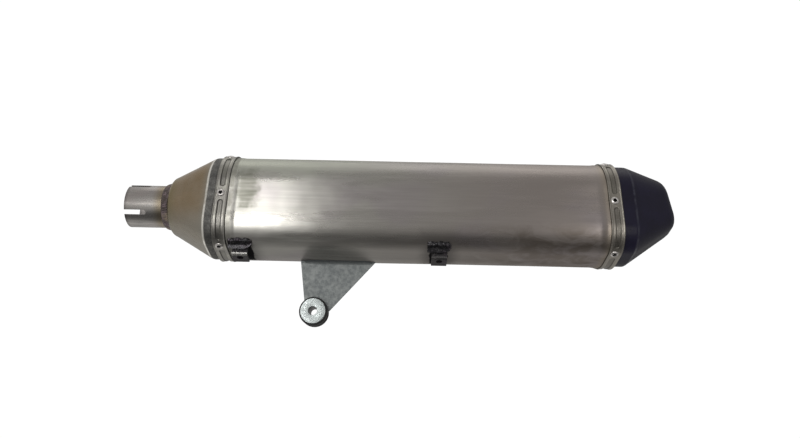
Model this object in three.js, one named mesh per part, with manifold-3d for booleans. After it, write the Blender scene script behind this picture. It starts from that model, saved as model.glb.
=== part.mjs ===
// Motorcycle exhaust muffler: a straight-through absorption silencer with a shield-shaped body.
// Millimetres. Origin at the centre of the inlet pipe's mouth, +X along the body axis to the outlet,
// +Z away from the hanger, -Y the outer side of the muffler.
import * as THREE from 'three';
import { mergeVertices } from 'three/addons/utils/BufferGeometryUtils.js';
import Module from 'manifold-3d';

const wasm = await Module();
wasm.setup();

// ---- driving dimensions ----
const gap = 0.3; // room left between pieces that touch or are welded
const sides = 40; // points round each body section
const roundSides = 24; // and round the smaller tubes
const deg = Math.PI / 180;

// body section: the hull of four circles, symmetric about Y = 0
const topRadius = 41.8;
const topCentre = 11.4;
const cornerRadius = 27;
const ridgeRadius = 42;
const ridgeCentre = -12.5;
const wallLean = 7 * deg; // side walls lean outwards going down
const bottomSlope = 16.5 * deg; // lower faces rise from the ridge to the corners

const pipe = { outer: 22, inner: 20.5, end: 98 };
const slot = { width: 5.2, length: 22, angle: 31.6 * deg };
const cone = { start: 45, neck: 23.8, shoulder: 31.3, shoulderX: 50.2, fold: 89.5, wall: 1.2 };
const bead = { start: 38.6 };
const flush = -0.4; // the cone's skirt lies just under the sleeve's surface where it shows
const tucked = -1.35; // and steps in where it enters the sleeve; the cap's skirt is straight
const sleeve = { start: 98.5, end: 499.8, wall: 1 };
const band = { width: 13.2, inner: 0.3, outer: 1.9, front: 97.8, rear: 487, rivetLine: 5.9 };
const cap = { inside: 488, fold: 513.4, wall: 1.5, foldLean: 1, rimTop: 553.8, rimBottom: 561.6 };
const outlet = { scale: 0.546, rise: 9.8, tubeOuter: 19.8, tubeInner: 18.4, start: 492, end: 550 };
const core = { outer: 22, inner: 20.8, start: 98.3, end: 502, holeRadius: 3, holeRows: 7, holesRound: 6 };
const plates = { thick: 1.5, front: 99.4, rear: 497.8, inset: 3.2 };
const wrap = { inner: 22.4, outer: 23.6 };
const packing = { inset: 4.6, inner: 23.9, start: 101.3, end: 497.4 };
const rivet = { head: 4.2, shank: 2.1, hole: 2.4, bore: 1.7, dome: 1.3, depth: 6 };
const rivetSpots = [21, 74, 129.8]; // distance round the section from the top, each side

const hanger = {
  thick: 3, x0: 180.5, x1: 256.8, eyeX: 196.8, eyeZ: -106.8, eyeRadius: 12.4, eyeHole: 10,
  leftAim: 8.7, rightAim: 10.4, // how far outside the eye's centre each straight edge would pass
};
const bush = { flange: 13.1, neck: 9.7, bore: 6.35, half: 8.75 };
const collar = { flange: 12.6, thick: 2.5, tube: 6.2, bore: 4.2 };
const tab = { width: 15.2, sheet: 2.4, height: 10.5, reach: 15, foot: 33.6, bend: 3.2, hole: 3.2, holeBack: 6.2 };
const tabSpots = { front: 124.9, rear: 320.4 };

// ---- materials ----
const finish = (color, roughness, metalness) =>
  new THREE.MeshStandardMaterial({ color, roughness, metalness });
const stainless = finish(0x8f8b84, 0.3, 1);
const heatTinted = finish(0x7d7058, 0.35, 1);
const weldMetal = finish(0x4a4148, 0.5, 1);
const plainSteel = finish(0x7d8282, 0.5, 1);
const blackCoat = finish(0x1f1e26, 0.4, 0.2);
const zincPlate = finish(0xb7bdbc, 0.3, 1);
const blackRubber = finish(0x141414, 0.8, 0);
const glassWool = finish(0xc9bf9c, 0.95, 0);

// ---- closed meshes ----
function closedGeometry(points, faces) {
  let volume = 0;
  for (const [a, b, c] of faces) {
    volume += points[a].dot(new THREE.Vector3().crossVectors(points[b], points[c]));
  }
  const outward = volume > 0 ? faces : faces.map(([a, b, c]) => [a, c, b]);
  const geometry = new THREE.BufferGeometry();
  geometry.setAttribute('position', new THREE.Float32BufferAttribute(points.flatMap((p) => p.toArray()), 3));
  geometry.setIndex(outward.flat());
  return geometry;
}

// skin through loops of equal length; the last loop joins the first, so the solid is a tube
function tubeLoft(loops) {
  const count = loops[0].length;
  const faces = [];
  loops.forEach((loop, i) => {
    const here = i * count;
    const next = ((i + 1) % loops.length) * count;
    for (let j = 0; j < count; j++) {
      const k = (j + 1) % count;
      faces.push([here + j, here + k, next + k], [here + j, next + k, next + j]);
    }
  });
  return closedGeometry(loops.flat(), faces);
}

function toSolid(geometry) {
  const bare = geometry.index ? geometry.clone() : geometry;
  bare.deleteAttribute('normal');
  bare.deleteAttribute('uv');
  const merged = mergeVertices(bare, 1e-4);
  return new wasm.Manifold(new wasm.Mesh({
    numProp: 3,
    vertProperties: new Float32Array(merged.attributes.position.array),
    triVerts: new Uint32Array(merged.index.array),
  }));
}

function toGeometry(solid) {
  const mesh = solid.getMesh();
  const geometry = new THREE.BufferGeometry();
  geometry.setAttribute('position', new THREE.BufferAttribute(new Float32Array(mesh.vertProperties), 3));
  geometry.setIndex(new THREE.BufferAttribute(new Uint32Array(mesh.triVerts), 1));
  return geometry;
}

function cut(geometry, cutters) {
  return toGeometry(cutters.reduce((solid, cutter) => solid.subtract(toSolid(cutter)), toSolid(geometry)));
}

// ---- body section ----
function cornerPlace() {
  const wallReach = topCentre * Math.sin(wallLean) + topRadius - cornerRadius;
  const bottomReach = -ridgeCentre * Math.cos(bottomSlope) + ridgeRadius - cornerRadius;
  // the corner's centre lies wallReach from the axis along the wall's normal, and bottomReach along the bottom's
  const a = Math.cos(wallLean), b = Math.sin(wallLean);
  const c = Math.sin(bottomSlope), d = -Math.cos(bottomSlope);
  const det = a * d - b * c;
  return new THREE.Vector2((wallReach * d - b * bottomReach) / det, (a * bottomReach - wallReach * c) / det);
}
const corner = cornerPlace();

// arcs go clockwise from the top, down the +Y side, and back up the -Y side
function sectionPath(offset) {
  const wall = wallLean;
  const bottom = -(Math.PI / 2 - bottomSlope);
  const path = new THREE.Path();
  path.absarc(0, topCentre, topRadius + offset, Math.PI / 2, wall, true);
  path.absarc(corner.x, corner.y, cornerRadius + offset, wall, bottom, true);
  path.absarc(0, ridgeCentre, ridgeRadius + offset, bottom, -Math.PI - bottom, true);
  path.absarc(-corner.x, corner.y, cornerRadius + offset, -Math.PI - bottom, -Math.PI - wall, true);
  path.absarc(0, topCentre, topRadius + offset, Math.PI - wall, Math.PI / 2, true);
  return path;
}

function section(offset = 0) {
  return sectionPath(offset).getSpacedPoints(sides).slice(0, sides);
}

function circle(radius, count = sides) {
  return Array.from({ length: count }, (_, i) => {
    const angle = Math.PI / 2 - (i / count) * 2 * Math.PI;
    return new THREE.Vector2(radius * Math.cos(angle), radius * Math.sin(angle));
  });
}

const atX = (x, loop) => loop.map((p) => new THREE.Vector3(x, p.x, p.y));

function blendLoops(from, to, t) {
  return from.map((p, i) => p.clone().lerp(to[i], t));
}

// a point on the section and the outward normal there, by distance round from the top
function sectionSpot(distance, side) {
  const path = sectionPath(0);
  const t = distance / path.getLength();
  const p = path.getPointAt(t);
  const along = path.getTangentAt(t);
  return {
    point: new THREE.Vector3(0, side * p.x, p.y),
    normal: new THREE.Vector3(0, -side * along.y, along.x),
  };
}

// ---- placing round pieces along any direction ----
// a profile of [radius, height] points; its outer side has to run upwards for the faces to point out
function lathe(profile, segments) {
  const points = profile.map(([r, h]) => new THREE.Vector2(r, h));
  if (THREE.ShapeUtils.isClockWise(points)) points.reverse();
  return new THREE.LatheGeometry(points, segments);
}

function aimed(geometry, direction, position) {
  const turn = new THREE.Quaternion().setFromUnitVectors(new THREE.Vector3(0, 1, 0), direction);
  return geometry.applyQuaternion(turn).translate(position.x, position.y, position.z);
}

const alongX = new THREE.Vector3(1, 0, 0);
const alongY = new THREE.Vector3(0, 1, 0);

function roundTube(start, end, inner, outer, count = roundSides) {
  const outside = circle(outer, count);
  const inside = circle(inner, count);
  return tubeLoft([atX(start, outside), atX(end, outside), atX(end, inside), atX(start, inside)]);
}

// ---- rivets ----
function rivetPlaces(x) {
  return [1, -1].flatMap((side) => rivetSpots.map((distance) => {
    const { point, normal } = sectionSpot(distance, side);
    return { seat: point.clone().setX(x), normal };
  }));
}

function rivetGeometry() {
  const seat = band.outer + gap;
  return lathe([
    [0, seat - 1], [rivet.bore, seat - 1], [rivet.bore, seat + 1],
    [rivet.bore + 0.9, seat + rivet.dome], [rivet.head - 0.7, seat + 1], [rivet.head, seat],
    [rivet.shank, seat], [rivet.shank, seat - rivet.depth], [0, seat - rivet.depth],
  ], 10);
}

function rivetHoles(x) {
  return rivetPlaces(x).map(({ seat, normal }) =>
    aimed(new THREE.CylinderGeometry(rivet.hole, rivet.hole, 16, 10), normal, seat));
}

const frontRivetX = band.front + band.rivetLine;
const rearRivetX = band.rear + band.rivetLine;

// ---- inlet ----
function inletPipe() {
  const far = 40;
  const round = slot.width / 2;
  const shape = new THREE.Shape();
  shape.moveTo(-5, -round);
  shape.lineTo(slot.length - round, -round);
  shape.absarc(slot.length - round, 0, round, -Math.PI / 2, Math.PI / 2, false);
  shape.lineTo(-5, round);
  const cutter = (angle) => new THREE.ExtrudeGeometry(shape, { depth: 2 * far, bevelEnabled: false, curveSegments: 6 })
    .translate(0, 0, -far)
    .rotateX(angle);
  const toSlot = Math.PI / 2 - slot.angle;
  return cut(roundTube(0, pipe.end, pipe.inner, pipe.outer, sides), [cutter(-toSlot), cutter(-toSlot + Math.PI / 2)]);
}

function inletWeldBead() {
  const root = pipe.outer + gap;
  const end = cone.start - gap;
  return aimed(lathe([
    [root, bead.start], [root + 1.2, bead.start + 0.9], [root + 1.9, bead.start + 3.2],
    [root + 3, end], [root, end], [root, bead.start],
  ], roundSides), alongX, new THREE.Vector3());
}

function inletCone() {
  const skirt = section(flush);
  const skirtInside = section(flush - cone.wall);
  const slope = (t, shell) => blendLoops(circle(cone.shoulder - shell), shell ? skirtInside : skirt, t);
  const run = cone.fold - cone.shoulderX;
  const tuckEnd = band.front + band.width - gap;
  return cut(tubeLoft([
    atX(cone.start, circle(cone.neck)),
    atX(cone.start + 1.2, circle(cone.neck + 3.1)),
    atX(cone.start + 3, circle(cone.shoulder - 1.9)),
    atX(cone.shoulderX, circle(cone.shoulder)),
    atX(cone.shoulderX + 0.5 * run, slope(0.5, 0)),
    atX(cone.fold - 2.5, slope(0.955, 0)),
    atX(cone.fold, skirt),
    atX(sleeve.start - 1.3, skirt),
    atX(sleeve.start - gap, section(tucked)),
    atX(tuckEnd, section(tucked)),
    atX(tuckEnd, section(tucked - cone.wall)),
    atX(sleeve.start - gap, section(tucked - cone.wall)),
    atX(sleeve.start - 1.6, skirtInside),
    atX(cone.fold, skirtInside),
    atX(cone.shoulderX + 0.5 * run, slope(0.5, cone.wall)),
    atX(cone.shoulderX + 0.7, circle(cone.shoulder - cone.wall)),
    atX(cone.start + 3.4, circle(cone.shoulder - 3.4)),
    atX(cone.start + 2, circle(pipe.outer + gap)),
    atX(cone.start, circle(pipe.outer + gap)),
  ]), rivetHoles(frontRivetX));
}

// ---- body ----
function bandRing(x) {
  return cut(tubeLoft([
    atX(x, section(band.outer)), atX(x + band.width, section(band.outer)),
    atX(x + band.width, section(band.inner)), atX(x, section(band.inner)),
  ]), rivetHoles(x + band.rivetLine));
}

function bodySleeve() {
  return cut(tubeLoft([
    atX(sleeve.start, section(0)), atX(sleeve.end, section(0)),
    atX(sleeve.end, section(-sleeve.wall)), atX(sleeve.start, section(-sleeve.wall)),
  ]), [...rivetHoles(frontRivetX), ...rivetHoles(rearRivetX)]);
}

function endPlate(x) {
  const rim = section(-plates.inset);
  const hole = circle(core.outer + gap);
  return tubeLoft([atX(x, rim), atX(x + plates.thick, rim), atX(x + plates.thick, hole), atX(x, hole)]);
}

// ---- sound-absorbing inside ----
function perforatedCore() {
  const tube = roundTube(core.start, core.end, core.inner, core.outer);
  const first = packing.start + 14;
  const pitch = (packing.end - packing.start - 28) / (core.holeRows - 1);
  const drills = [];
  for (let row = 0; row < core.holeRows; row++) {
    for (let n = 0; n < core.holesRound / 2; n++) {
      const angle = (n + (row % 2) / 2) * (2 * Math.PI / core.holesRound);
      drills.push(aimed(new THREE.CylinderGeometry(core.holeRadius, core.holeRadius, 60, 6),
        new THREE.Vector3(0, Math.cos(angle), Math.sin(angle)), new THREE.Vector3(first + row * pitch, 0, 0)));
    }
  }
  return cut(tube, drills);
}

function woolPacking() {
  const outside = section(-packing.inset);
  const inside = circle(packing.inner);
  return tubeLoft([
    atX(packing.start, outside), atX(packing.end, outside), atX(packing.end, inside), atX(packing.start, inside),
  ]);
}

// ---- outlet ----
// a loop on the cap's taper: t is 0 at the fold and 1 at the slanted rim
function capLoop(t, inset) {
  const scale = 1 + (outlet.scale - 1) * t;
  const middle = cap.fold + ((cap.rimTop + cap.rimBottom) / 2 - cap.fold) * t;
  const slant = ((cap.rimBottom - cap.rimTop) / 2) * t - cap.foldLean * (1 - t);
  return section((tucked - inset) / scale).map((p) => {
    const y = p.x * scale;
    const z = p.y * scale + outlet.rise * t;
    return new THREE.Vector3(middle - (slant * p.y) / (topCentre + topRadius), y, z);
  });
}

function shifted(loop, dx) {
  return loop.map((p) => p.clone().setX(p.x + dx));
}

function rearCap() {
  return cut(tubeLoft([
    atX(cap.inside, section(tucked)),
    atX(cap.fold - 1.5, section(tucked)),
    capLoop(0.04, 0.1),
    capLoop(0.45, 0),
    capLoop(0.86, 0),
    capLoop(0.95, 0.5),
    capLoop(0.99, 1.8),
    capLoop(1, 3.4),
    capLoop(0.99, 4.6),
    capLoop(0.95, 4.4),
    capLoop(0.86, 2.2),
    capLoop(0.45, cap.wall),
    shifted(capLoop(0.04, cap.wall), -0.6),
    atX(cap.fold - 2.2, section(tucked - cap.wall)),
    atX(cap.inside, section(tucked - cap.wall)),
  ]), rivetHoles(rearRivetX));
}

function outletTube() {
  const ring = new THREE.Shape().absarc(0, 0, outlet.tubeOuter, 0, 2 * Math.PI, false);
  ring.holes.push(new THREE.Path().absarc(0, 0, outlet.tubeInner, 0, 2 * Math.PI, true));
  const route = new THREE.CubicBezierCurve3(
    new THREE.Vector3(outlet.start, 0, 0),
    new THREE.Vector3(outlet.start + 22, 0, 0),
    new THREE.Vector3(outlet.end - 16, 0, outlet.rise),
    new THREE.Vector3(outlet.end, 0, outlet.rise));
  return new THREE.ExtrudeGeometry(ring, { extrudePath: route, steps: 8, curveSegments: 12 });
}

// ---- hanger ----
const sleeveBottom = ridgeCentre - ridgeRadius;
const hangerTop = sleeveBottom - gap;

function hangerPlate() {
  const shape = new THREE.Shape();
  const eye = new THREE.Vector2(hanger.eyeX, hanger.eyeZ);
  // each edge runs straight from the top, passing the eye's centre at the distance aim, until it meets the eye
  const meet = (from, turn, aim) => {
    const away = new THREE.Vector2().subVectors(from, eye);
    const normal = Math.atan2(away.y, away.x) + turn * Math.acos(aim / away.length());
    return normal - turn * Math.acos(aim / hanger.eyeRadius);
  };
  const left = new THREE.Vector2(hanger.x0, hangerTop);
  const right = new THREE.Vector2(hanger.x1, hangerTop);
  shape.moveTo(right.x, right.y);
  shape.lineTo(left.x, left.y);
  shape.absarc(eye.x, eye.y, hanger.eyeRadius,
    meet(left, 1, hanger.leftAim), meet(right, -1, hanger.rightAim) + 2 * Math.PI, false);
  shape.holes.push(new THREE.Path().absarc(eye.x, eye.y, hanger.eyeHole, 0, 2 * Math.PI, true));
  return new THREE.ExtrudeGeometry(shape, { depth: hanger.thick, bevelEnabled: false, curveSegments: 20 })
    .rotateX(Math.PI / 2)
    .translate(0, hanger.thick / 2, 0);
}

function hangerWeld(side) {
  const near = hanger.thick / 2 + gap;
  const shape = new THREE.Shape();
  shape.moveTo(side * near, hangerTop);
  shape.lineTo(side * (near + 3.2), hangerTop);
  shape.quadraticCurveTo(side * (near + 0.9), hangerTop - 0.9, side * near, hangerTop - 3.4);
  const long = hanger.x1 - hanger.x0 - 8;
  return alongBody(new THREE.ExtrudeGeometry(shape, { depth: long, bevelEnabled: false, curveSegments: 4 }))
    .translate(hanger.x0 + 4, 0, 0);
}

// turns a profile drawn in Y and Z, extruded along its own z, to run along +X
function alongBody(geometry) {
  return geometry.applyMatrix4(new THREE.Matrix4().makeBasis(alongY, new THREE.Vector3(0, 0, 1), alongX));
}

const eyePlace = new THREE.Vector3(hanger.eyeX, 0, hanger.eyeZ);

function hangerGrommet() {
  const inner = hanger.thick / 2 + gap;
  const lip = 1.2;
  return aimed(lathe([
    [bush.bore, -bush.half], [bush.flange - lip, -bush.half], [bush.flange, -bush.half + lip],
    [bush.flange, -inner], [bush.neck, -inner], [bush.neck, inner], [bush.flange, inner],
    [bush.flange, bush.half - lip], [bush.flange - lip, bush.half], [bush.bore, bush.half],
    [bush.bore, -bush.half],
  ], roundSides), alongY, eyePlace);
}

function hangerCollar() {
  const seat = bush.half + gap;
  const face = seat + collar.thick;
  const edge = 0.6;
  return aimed(lathe([
    [collar.bore, -face], [collar.flange - edge, -face], [collar.flange, -face + edge],
    [collar.flange, -seat], [collar.tube, -seat], [collar.tube, seat - gap], [collar.bore, seat - gap],
    [collar.bore, -face],
  ], roundSides), alongY, eyePlace);
}

function hangerCollarRear() {
  const seat = bush.half + gap;
  const face = seat + collar.thick;
  const edge = 0.6;
  return aimed(lathe([
    [collar.bore, seat], [collar.flange, seat], [collar.flange, face - edge],
    [collar.flange - edge, face], [collar.bore, face], [collar.bore, seat],
  ], roundSides), alongY, eyePlace);
}

// ---- heat-shield tabs ----
// local x runs up the near lower face from the ridge, local y stands out of it, local z is +X
const ridgeTip = new THREE.Vector3(0, 0, ridgeCentre - ridgeRadius / Math.cos(bottomSlope));
const upFace = new THREE.Vector3(0, -Math.cos(bottomSlope), Math.sin(bottomSlope));
const outFace = new THREE.Vector3(0, -Math.sin(bottomSlope), -Math.cos(bottomSlope));

function onLowerFace(geometry, x) {
  const place = new THREE.Matrix4().makeBasis(upFace, outFace, alongX).setPosition(ridgeTip.clone().setX(x));
  return geometry.applyMatrix4(place);
}

function shieldTab(x) {
  const { sheet, height, reach, foot, bend, holeBack } = tab;
  const shape = new THREE.Shape();
  shape.moveTo(foot - sheet, gap);
  shape.lineTo(foot, gap);
  shape.absarc(foot - bend, height - bend, bend, 0, Math.PI / 2, false);
  shape.lineTo(foot - reach, height);
  shape.lineTo(foot - reach, height - sheet);
  shape.absarc(foot - bend, height - bend, bend - sheet, Math.PI / 2, 0, true);
  const bracket = new THREE.ExtrudeGeometry(shape, { depth: tab.width, bevelEnabled: false, curveSegments: 6 })
    .translate(0, 0, -tab.width / 2);
  const drill = new THREE.CylinderGeometry(tab.hole, tab.hole, 12, 20).translate(foot - holeBack, height, 0);
  return onLowerFace(cut(bracket, [drill]), x);
}

function tabWeld(x) {
  const root = tab.foot + gap;
  const arcStart = corner.x * Math.cos(bottomSlope) + (corner.y - ridgeTip.z) * Math.sin(bottomSlope);
  const under = cornerRadius + gap;
  const angleAt = (s) => Math.acos((s - arcStart) / under);
  const shape = new THREE.Shape();
  shape.moveTo(root, 5.6);
  shape.lineTo(root, under * Math.sin(angleAt(root)) - cornerRadius);
  shape.absarc(arcStart, -cornerRadius, under, angleAt(root), angleAt(root + 7.4), true);
  shape.quadraticCurveTo(root + 7, 2.6, root + 3, 4);
  const bar = new THREE.ExtrudeGeometry(shape, {
    depth: tab.width - 1.6, bevelEnabled: false, curveSegments: 4,
  }).translate(0, 0, -tab.width / 2 + 0.8);
  return onLowerFace(bar, x);
}

// ---- assembly ----
const muffler = new THREE.Group();

function add(name, geometry, material) {
  const mesh = new THREE.Mesh(geometry, material);
  mesh.name = name;
  muffler.add(mesh);
}

add('inlet_pipe', inletPipe(), stainless);
add('inlet_weld_bead', inletWeldBead(), weldMetal);
add('inlet_cone', inletCone(), heatTinted);
add('body_sleeve', bodySleeve(), stainless);
add('front_band', bandRing(band.front), stainless);
add('rear_band', bandRing(band.rear), stainless);
add('front_end_plate', endPlate(plates.front), plainSteel);
add('rear_end_plate', endPlate(plates.rear), plainSteel);
add('perforated_core', perforatedCore(), plainSteel);
add('packing_mesh_wrap', roundTube(packing.start, packing.end, wrap.inner, wrap.outer), plainSteel);
add('packing', woolPacking(), glassWool);
add('rear_cap', rearCap(), blackCoat);
add('outlet_tube', outletTube(), stainless);

for (const [name, x] of [['front', frontRivetX], ['rear', rearRivetX]]) {
  rivetPlaces(x).forEach(({ seat, normal }, i) => {
    add(`${name}_rivet_${i + 1}`, aimed(rivetGeometry(), normal, seat), stainless);
  });
}

add('hanger_plate', hangerPlate(), plainSteel);
add('hanger_weld_outer', hangerWeld(-1), weldMetal);
add('hanger_weld_inner', hangerWeld(1), weldMetal);
add('hanger_grommet', hangerGrommet(), blackRubber);
add('hanger_collar', hangerCollar(), zincPlate);
add('hanger_collar_rear', hangerCollarRear(), zincPlate);

for (const [name, x] of Object.entries(tabSpots)) {
  add(`heat_shield_tab_${name}`, shieldTab(x), plainSteel);
  add(`tab_weld_${name}`, tabWeld(x), weldMetal);
}

export default muffler;
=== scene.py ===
import math
import bpy
import bmesh
import numpy as np
from mathutils import Matrix, Vector, noise


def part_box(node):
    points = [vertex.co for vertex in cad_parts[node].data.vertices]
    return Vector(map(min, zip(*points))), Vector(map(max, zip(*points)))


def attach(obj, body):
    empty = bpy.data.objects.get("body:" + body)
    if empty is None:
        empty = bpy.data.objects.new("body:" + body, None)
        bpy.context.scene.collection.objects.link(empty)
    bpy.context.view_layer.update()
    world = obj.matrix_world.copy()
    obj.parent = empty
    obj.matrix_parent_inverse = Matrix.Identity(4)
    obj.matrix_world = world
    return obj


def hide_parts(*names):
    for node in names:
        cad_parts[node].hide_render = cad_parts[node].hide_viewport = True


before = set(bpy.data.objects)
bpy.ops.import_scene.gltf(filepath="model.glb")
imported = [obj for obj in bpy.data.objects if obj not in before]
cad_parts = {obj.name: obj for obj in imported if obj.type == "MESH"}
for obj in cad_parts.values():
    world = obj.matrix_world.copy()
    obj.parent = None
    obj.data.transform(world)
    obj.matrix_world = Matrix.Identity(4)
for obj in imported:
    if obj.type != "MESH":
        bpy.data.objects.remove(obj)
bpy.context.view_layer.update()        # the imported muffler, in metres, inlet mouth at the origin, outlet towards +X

mm = 0.001
deg = math.pi / 180
up = Vector((0, 0, 1))
alongBody = Vector((1, 0, 0))
across = Vector((0, 1, 0))
print("frame loaded:", len(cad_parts), "nodes")


def mixNumber(a, b, t):
    return a + (b - a) * t


def smoothStep(low, high, value):
    t = min(1, max(0, (value - low) / (high - low)))
    return t * t * (3 - 2 * t)


def turnsOf(count):  # angles evenly spaced round a circle
    return [2 * math.pi * i / count for i in range(count)]


def centreOf(node):
    low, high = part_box(node)
    return (low + high) / 2


def linked(name, data):
    made = bpy.data.objects.new(name, data)
    bpy.context.scene.collection.objects.link(made)
    return made


def meshFrom(name, points, faces):  # normals point outwards
    mesh = bpy.data.meshes.new(name)
    mesh.from_pydata([tuple(p) for p in points], [], faces)
    form = bmesh.new()
    form.from_mesh(mesh)
    bmesh.ops.recalc_face_normals(form, faces=form.faces)
    form.to_mesh(mesh)
    form.free()
    return linked(name, mesh)


def finishPiece(piece, material, node, sharp, body="muffler"):
    piece.data.materials.clear()
    piece.data.materials.append(material)
    piece.data.shade_smooth()
    piece.data.set_sharp_from_angle(angle=sharp * deg)
    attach(piece, body)
    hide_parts(node)
    return piece


# skin over rings of points; closeRows joins the last ring back to the first, like a long torus
def makeLoft(name, rings, material, node, sharp, body="muffler", closeRows=True):
    count = len(rings[0])
    faces = []
    for i in range(len(rings) if closeRows else len(rings) - 1):
        a, b = i * count, ((i + 1) % len(rings)) * count
        for j in range(count):
            k = (j + 1) % count
            faces.append((a + j, a + k, b + k, b + j))
    piece = meshFrom(name, [p for ring in rings for p in ring], faces)
    return finishPiece(piece, material, node, sharp, body)


# a profile of (radius, height) turned about an axis through place
def turnedRings(profile, place, axis, count, wobble=None):
    axis = axis.normalized()
    side = axis.orthogonal().normalized()
    other = axis.cross(side)
    rings = []
    for step, (radius, height) in enumerate(profile):
        ring = []
        for angle in turnsOf(count):
            r, h = (radius, height) if wobble is None else wobble(radius, height, angle, step)
            ring.append(place + axis * h + (side * math.cos(angle) + other * math.sin(angle)) * r)
        rings.append(ring)
    return rings


def roundRing(x, radius, count):
    return [(x, radius * math.sin(a), radius * math.cos(a)) for a in turnsOf(count)]


# a ring part of the way round the bend from one ring to another, past the corner between them
def bendRing(start, corner, end, t):
    return [tuple(p * (1 - t) ** 2 + q * 2 * t * (1 - t) + r * t * t for p, q, r in zip(*three))
            for three in zip(start, corner, end)]


# rounds the corners of a closed profile with short arcs
def roundedProfile(profile, radius, steps=4):
    out = []
    count = len(profile)
    for i, point in enumerate(profile):
        here = Vector(point)
        before = Vector(profile[i - 1]) - here
        after = Vector(profile[(i + 1) % count]) - here
        reach = min(radius, before.length * 0.45, after.length * 0.45)
        a = here + before.normalized() * reach
        b = here + after.normalized() * reach
        for s in range(steps + 1):
            t = s / steps
            out.append(tuple(a * (1 - t) ** 2 + here * 2 * t * (1 - t) + b * t * t))
    return out


def paintPoints(piece, name, values):  # a number on each point, for a finish to read
    layer = piece.data.attributes.new(name, "FLOAT", "POINT")
    layer.data.foreach_set("value", np.array(values, dtype=np.float32).ravel())


# the body's shield-shaped section
section = {
    "topRadius": 41.8 * mm, "topCentre": 11.4 * mm,  # the round top
    "cornerRadius": 27 * mm,
    "ridgeRadius": 42 * mm, "ridgeCentre": -12.5 * mm,  # the keel along the bottom
    "wallLean": 7 * deg, "bottomSlope": 16.5 * deg,
}


def cornerCentre():
    s = section
    wallReach = s["topCentre"] * math.sin(s["wallLean"]) + s["topRadius"] - s["cornerRadius"]
    bottomReach = -s["ridgeCentre"] * math.cos(s["bottomSlope"]) + s["ridgeRadius"] - s["cornerRadius"]
    a, b = math.cos(s["wallLean"]), math.sin(s["wallLean"])
    c, d = math.sin(s["bottomSlope"]), -math.cos(s["bottomSlope"])
    det = a * d - b * c
    return (wallReach * d - b * bottomReach) / det, (a * bottomReach - wallReach * c) / det


def tracedSection(stepsPerArc=400):
    s = section
    cy, cz = cornerCentre()
    wall, bottom = s["wallLean"], -(math.pi / 2 - s["bottomSlope"])
    arcs = [
        (0, s["topCentre"], s["topRadius"], math.pi / 2, wall),
        (cy, cz, s["cornerRadius"], wall, bottom),
        (0, s["ridgeCentre"], s["ridgeRadius"], bottom, -math.pi - bottom),
        (-cy, cz, s["cornerRadius"], -math.pi - bottom, -math.pi - wall),
        (0, s["topCentre"], s["topRadius"], -math.pi - wall, -1.5 * math.pi),
    ]
    rows = []
    for y, z, radius, start, end in arcs:
        for i in range(stepsPerArc + 1):
            angle = mixNumber(start, end, i / stepsPerArc)
            rows.append((y + radius * math.cos(angle), z + radius * math.sin(angle), angle))
    rows = np.array(rows)
    lengths = np.concatenate([[0], np.cumsum(np.hypot(np.diff(rows[:, 0]), np.diff(rows[:, 1])))])
    return rows, lengths


traced, tracedLengths = tracedSection()
girth = tracedLengths[-1]  # distance round the section, from the top down the +Y side and back up


# a point of the section and its outward normal, by distance round from the top
def sectionAt(distance):
    distance = distance % girth
    y, z, angle = (np.interp(distance, tracedLengths, traced[:, k]) for k in range(3))
    return (y, z), (math.cos(angle), math.sin(angle))


def sectionRing(count):
    return [sectionAt(girth * i / count) for i in range(count)]


def pointAt(x, offset, spot):  # a point of the section moved outwards by offset
    (y, z), (ny, nz) = spot
    return x, y + ny * offset, z + nz * offset


def ringAt(x, offset, ring):
    return [pointAt(x, offset, spot) for spot in ring]


# materials: a tree of nodes, and a finish that feeds one shader
class Nodes:
    def __init__(self, tree):
        self.tree = tree

    def feed(self, socket, value):
        if isinstance(value, bpy.types.NodeSocket):
            self.tree.links.new(value, socket)
        elif hasattr(value, "__len__") and len(value) == 3 and len(socket.default_value) == 4:
            socket.default_value = (*value, 1)
        else:
            socket.default_value = value

    def node(self, kind, **inputs):
        made = self.tree.nodes.new("ShaderNode" + kind)
        for key, value in inputs.items():
            self.feed(made.inputs[key.replace("_", " ")], value)
        return made

    def remap(self, value, low, high, toLow=0.0, toHigh=1.0, kind="SMOOTHSTEP"):
        made = self.node("MapRange", Value=value, From_Min=low, From_Max=high, To_Min=toLow, To_Max=toHigh)
        made.interpolation_type = kind
        return made.outputs["Result"]

    def calc(self, operation, a, b=0.0):
        made = self.tree.nodes.new("ShaderNodeMath")
        made.operation = operation
        self.feed(made.inputs[0], a)
        self.feed(made.inputs[1], b)
        return made.outputs[0]

    def times(self, a, b):
        return self.calc("MULTIPLY", a, b)

    def plus(self, a, b):
        return self.calc("ADD", a, b)

    def minus(self, a, b):
        return self.calc("SUBTRACT", a, b)

    def larger(self, a, b):
        return self.calc("MAXIMUM", a, b)

    def gap(self, a, b):
        return self.calc("ABSOLUTE", self.minus(a, b))

    def blend(self, factor, a, b):
        made = self.tree.nodes.new("ShaderNodeMix")
        made.data_type = "RGBA"
        self.feed(made.inputs["Factor"], factor)
        self.feed(made.inputs[6], a)
        self.feed(made.inputs[7], b)
        return made.outputs[2]


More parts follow.
